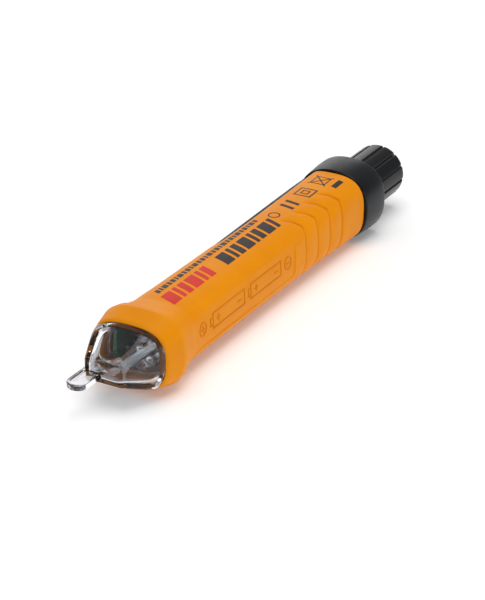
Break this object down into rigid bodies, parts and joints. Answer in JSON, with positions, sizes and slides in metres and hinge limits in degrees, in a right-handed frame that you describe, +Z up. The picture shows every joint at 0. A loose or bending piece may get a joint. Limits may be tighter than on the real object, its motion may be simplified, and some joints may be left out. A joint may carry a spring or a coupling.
{
  "type": "non contact voltage tester",
  "caption": "Pen-shaped voltage tester: clear sensing tip with torch, rounded-square body with side buttons and pocket clip, black collar and fluted screw cap over in-line cells.",
  "frame": {"origin": "centre of the bounding box in X and Y, on the surface that the tester lies on", "axes": "+X along the pen from its clear tip to its screw cap, +Z up out of the printed face, +Y out of the side with the buttons and the clip"},
  "size_m": [0.172, 0.026, 0.0223],
  "materials": {
    "casing_orange": "satin moulded plastic",
    "clear_lens": "clear moulded plastic",
    "black_plastic": "satin",
    "bezel_rubber": "matt",
    "board_green": "solder mask",
    "dark_resin": "matt",
    "bright_metal": "plated",
    "brass": "bright",
    "led_resin": "clear resin",
    "milky_plastic": "translucent",
    "milky_bulb": "translucent",
    "sleeve_grey": "moulded",
    "cell_jacket": "printed wrap",
    "power_red": "matt",
    "torch_grey": "matt"
  },
  "bodies": {
    "tester_body": {"main_casing": "casing_orange", "tip_lens": "clear_lens", "sensor_strip": "brass", "main_board": "board_green", "microcontroller": "dark_resin", "amplifier_chip": "dark_resin", "front_resistor": "dark_resin", "middle_resistor": "dark_resin", "rear_resistor": "dark_resin", "capacitor": "bright_metal", "buzzer": "dark_resin", "power_switch": "dark_resin", "torch_switch": "dark_resin", "torch_led": "led_resin", "led_holder": "milky_plastic", "upper_led_lead": "bright_metal", "lower_led_lead": "bright_metal", "alarm_led": "milky_bulb", "left_alarm_lead": "bright_metal", "right_alarm_lead": "bright_metal", "button_bezel": "bezel_rubber", "battery_sleeve": "sleeve_grey", "front_battery": "cell_jacket", "rear_battery": "cell_jacket", "positive_contact": "bright_metal", "negative_strip": "bright_metal", "rear_collar": "black_plastic", "cap_seal": "bezel_rubber"},
    "power_key": {"power_button": "power_red"},
    "torch_key": {"torch_button": "torch_grey"},
    "clip": {"pocket_clip": "black_plastic"},
    "sprung_contact": {"cap_contact": "bright_metal", "negative_spring": "bright_metal"},
    "cap": {"battery_cap": "black_plastic"}
  },
  "joints": [
    {"name": "cap_turn", "type": "hinge", "parent": "sprung_contact", "child": "cap", "pos_m": [0.0656, 0, 0.0109], "axis": [1, 0, 0], "range_deg": [0, 900]},
    {"name": "cap_lift", "type": "slide", "parent": "tester_body", "child": "sprung_contact", "axis": [1, 0, 0], "range_m": [0, 0.00625]},
    {"name": "power_press", "type": "slide", "parent": "tester_body", "child": "power_key", "axis": [0, -1, 0], "range_m": [0, 0.0006], "stiffness_N_per_m": 500},
    {"name": "torch_press", "type": "slide", "parent": "tester_body", "child": "torch_key", "axis": [0, -1, 0], "range_m": [0, 0.0006], "stiffness_N_per_m": 500},
    {"name": "clip_flex", "type": "hinge", "parent": "tester_body", "child": "clip", "pos_m": [0.0556, 0.0117, 0.0109], "axis": [0, 0, -1], "range_deg": [0, 4], "stiffness_Nm_per_rad": 2}
  ],
  "couplings": [
    {"joint": "cap_turn", "follows": "cap_lift", "rad_per_m": 2513.3}
  ]
}
